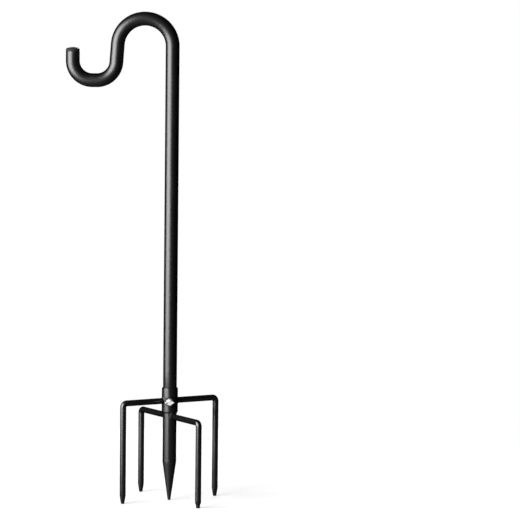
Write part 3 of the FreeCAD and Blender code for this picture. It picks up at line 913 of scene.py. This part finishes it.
def cast_wing_head():
    """Hub and two wings, run together as one casting with soft edges, and bored for the stud."""
    back = -wing_high.y
    base = UP * hub_height
    nose_height = back + HUB_LENGTH - NOSE_EDGE
    profile = [
        *round_stations(back + HUB_EDGE, HUB_RADIUS - HUB_EDGE, HUB_EDGE, -90, 0),
        *round_stations(nose_height, NOSE_RADIUS - NOSE_EDGE, NOSE_EDGE, 0, 90, NOSE_STEPS),
    ]
    piece = turn_on_lathe("cast_wing_head", base, FRONT, profile, FITTING_SIDES)
    cut_with(piece, cast_wing(RIGHT), "UNION")
    cut_with(piece, cast_wing(-RIGHT), "UNION")
    cut_with(piece, plain_rod(TAPPED_RADIUS, base, FRONT, back + BORE_DEPTH))
    melt = piece.modifiers.new("Melt", "REMESH")
    melt.mode = "VOXEL"
    melt.voxel_size = CASTING_GRAIN
    bpy.ops.object.modifier_apply(modifier=melt.name)
    soften = piece.modifiers.new("Soften", "SMOOTH")
    soften.factor = SOFTENING
    soften.iterations = SOFTENING_ROUNDS
    bpy.ops.object.modifier_apply(modifier=soften.name)
    mark = base - RIGHT * GATE_MARK_REACH + FRONT * (back + HUB_LENGTH - GATE_MARK_DEPTH)
    cut_with(piece, plain_rod(GATE_MARK_RADIUS, mark, FRONT, GATE_MARK_DEPTH * 2))
    finish_piece(piece, "wing", "plated_steel", zinc, "wing_head")


cast_wing_head()


# Camera, light and floor

# Lens and sensor in millimetres, where the camera stands and how it is turned
CAMERA_LENS = 233.3
SENSOR_WIDTH = 36
FAR_CLIP = 100
CAMERA_PLACE = (0, -4.608, 0.758)
CAMERA_PAN = math.radians(-1.52)
CAMERA_TILT_DOWN = math.radians(5.26)
CAMERA_ROLL = math.radians(0.61)


def place_camera():
    """The photograph's view: from straight in front and above the hook, turned a little to the right."""
    camera = bpy.data.cameras.new("Camera")
    camera.lens = CAMERA_LENS
    camera.sensor_width = SENSOR_WIDTH
    camera.clip_end = FAR_CLIP
    holder = bpy.data.objects.new("Camera", camera)
    bpy.context.scene.collection.objects.link(holder)
    pan = Matrix.Rotation(CAMERA_PAN, 4, "Z")
    tilt = Matrix.Rotation(math.pi / 2 - CAMERA_TILT_DOWN, 4, "X")
    roll = Matrix.Rotation(CAMERA_ROLL, 4, "Z")
    holder.matrix_world = Matrix.Translation(CAMERA_PLACE) @ pan @ tilt @ roll
    bpy.context.scene.camera = holder


def hang_softbox(name, width, height, bearing, distance, middle, power, spread_angle=math.pi):
    """An area light that faces the pole, turned by a bearing from straight in front, + to the right."""
    light = bpy.data.lights.new(name, "AREA")
    light.shape = "RECTANGLE"
    light.size = width
    light.size_y = height
    light.energy = power
    light.spread = spread_angle
    holder = bpy.data.objects.new(name, light)
    bpy.context.scene.collection.objects.link(holder)
    outward = Vector((math.sin(bearing), -math.cos(bearing), 0))
    holder.location = outward * distance + UP * middle
    holder.rotation_euler = turned_to(outward)
    holder.visible_camera = False


def work_out(nodes, links, operation, *values):
    """The result of a maths node that is fed with numbers or with other nodes' results."""
    node = nodes.new("ShaderNodeMath")
    node.operation = operation
    for socket, value in zip(node.inputs, values):
        if isinstance(value, (int, float)):
            socket.default_value = value
        else:
            links.new(value, socket)
    return node.outputs["Value"]


def whiteness(nodes, links, mirrored_share):
    """1 for what the camera sees itself, a share for what gloss mirrors, and 0 for all other light."""
    path = nodes.new("ShaderNodeLightPath")
    mirrored = work_out(
        nodes, links, "MAXIMUM", path.outputs["Is Glossy Ray"], path.outputs["Is Transmission Ray"]
    )
    dimmed = work_out(nodes, links, "MULTIPLY", mirrored, mirrored_share)
    return work_out(nodes, links, "MAXIMUM", path.outputs["Is Camera Ray"], dimmed)


# What the gloss mirrors of the white background and of the floor, and the light from all round
MIRRORED_BACKGROUND = 0.3
MIRRORED_FLOOR = 0.05
AMBIENT_LIGHT = 0.02

# How nearly straight back a direction points where the gloss starts to mirror the white, and where it
# mirrors its full share
MIRROR_START = 0.90
MIRROR_FULL = 0.97


def light_world():
    """White behind the hook, and nearly dark all round, so that the edges of the coating stay black."""
    world = bpy.data.worlds.new("World")
    bpy.context.scene.world = world
    world.use_nodes = True
    nodes = world.node_tree.nodes
    links = world.node_tree.links
    background = nodes["Background"]
    background.inputs["Color"].default_value = (1, 1, 1, 1)
    place = nodes.new("ShaderNodeTexCoord")
    ways = nodes.new("ShaderNodeSeparateXYZ")
    links.new(place.outputs["Generated"], ways.inputs["Vector"])
    behind = nodes.new("ShaderNodeMapRange")
    behind.inputs["From Min"].default_value = MIRROR_START
    behind.inputs["From Max"].default_value = MIRROR_FULL
    behind.inputs["To Max"].default_value = MIRRORED_BACKGROUND
    links.new(ways.outputs["Y"], behind.inputs["Value"])
    white = whiteness(nodes, links, behind.outputs["Result"])
    links.new(work_out(nodes, links, "MAXIMUM", white, AMBIENT_LIGHT), background.inputs["Strength"])


# How bright the floor glows at the stake to come out white with the lamps' light, how that changes for
# each metre to the right and back and for their products, and how much more it glows near its rim, which
# grows between two distances from the stake
FLOOR_GLOW = 0.47
GLOW_TO_RIGHT = 0.52
GLOW_TO_BACK = 0.35
GLOW_BACK_RIGHT = -0.54
GLOW_ASIDE = 0.19
RIM_GLOW = 0.08
RIM_START = 0.4
RIM_FULL = 0.65

# The floor's disc, how pale the camera sees it and how pale it is for all other light
FLOOR_RADIUS = 0.7
FLOOR_SIDES = 96
FLOOR_DULLNESS = 0.9
FLOOR_SEEN = (0.35, 0.35, 0.35, 1)
FLOOR_UNSEEN = (0.05, 0.05, 0.05, 1)


def lay_floor():
    """A pale floor that keeps the hook's shadows and runs out into the white behind it."""
    deselect()
    bpy.ops.mesh.primitive_circle_add(
        vertices=FLOOR_SIDES, radius=FLOOR_RADIUS, fill_type="NGON", location=(0, 0, 0)
    )
    floor = bpy.context.object
    floor.name = "floor"
    finish, nodes, links = new_finish("PaleFloor")
    shader = nodes["Principled BSDF"]
    shader.inputs["Roughness"].default_value = FLOOR_DULLNESS
    shader.inputs["Specular IOR Level"].default_value = 0.0
    path = nodes.new("ShaderNodeLightPath")
    pale = nodes.new("ShaderNodeMix")
    pale.data_type = "RGBA"
    pale.inputs["A"].default_value = FLOOR_UNSEEN
    pale.inputs["B"].default_value = FLOOR_SEEN
    links.new(path.outputs["Is Camera Ray"], pale.inputs["Factor"])
    links.new(pale.outputs["Result"], shader.inputs["Base Color"])
    place = nodes.new("ShaderNodeTexCoord")
    ways = nodes.new("ShaderNodeSeparateXYZ")
    links.new(place.outputs["Object"], ways.inputs["Vector"])
    right, back = ways.outputs["X"], ways.outputs["Y"]
    away = nodes.new("ShaderNodeVectorMath")
    away.operation = "LENGTH"
    links.new(place.outputs["Object"], away.inputs[0])
    rim = nodes.new("ShaderNodeMapRange")
    rim.inputs["From Min"].default_value = RIM_START
    rim.inputs["From Max"].default_value = RIM_FULL
    rim.inputs["To Min"].default_value = FLOOR_GLOW
    rim.inputs["To Max"].default_value = FLOOR_GLOW + RIM_GLOW
    links.new(away.outputs["Value"], rim.inputs["Value"])
    to_right = work_out(nodes, links, "MULTIPLY_ADD", right, GLOW_ASIDE, GLOW_TO_RIGHT)
    to_right = work_out(nodes, links, "MULTIPLY_ADD", back, GLOW_BACK_RIGHT, to_right)
    to_back = work_out(nodes, links, "MULTIPLY_ADD", back, GLOW_TO_BACK, rim.outputs["Result"])
    glow = work_out(nodes, links, "MULTIPLY_ADD", right, to_right, to_back)
    glow = work_out(nodes, links, "MAXIMUM", glow, 0)
    strength = work_out(nodes, links, "MULTIPLY", glow, whiteness(nodes, links, MIRRORED_FLOOR))
    shader.inputs["Emission Color"].default_value = (1, 1, 1, 1)
    links.new(strength, shader.inputs["Emission Strength"])
    floor.data.materials.append(finish)


place_camera()
hang_softbox(
    "KeySoftbox", width=1.36, height=1.5, bearing=math.radians(-55), distance=1.2, middle=0.76, power=93
)
hang_softbox(
    "RearSoftbox", width=0.8, height=1.3, bearing=math.radians(180), distance=1.2, middle=0.7, power=18,
    spread_angle=math.radians(50),
)
light_world()
lay_floor()
bpy.context.scene.view_settings.view_transform = "Standard"
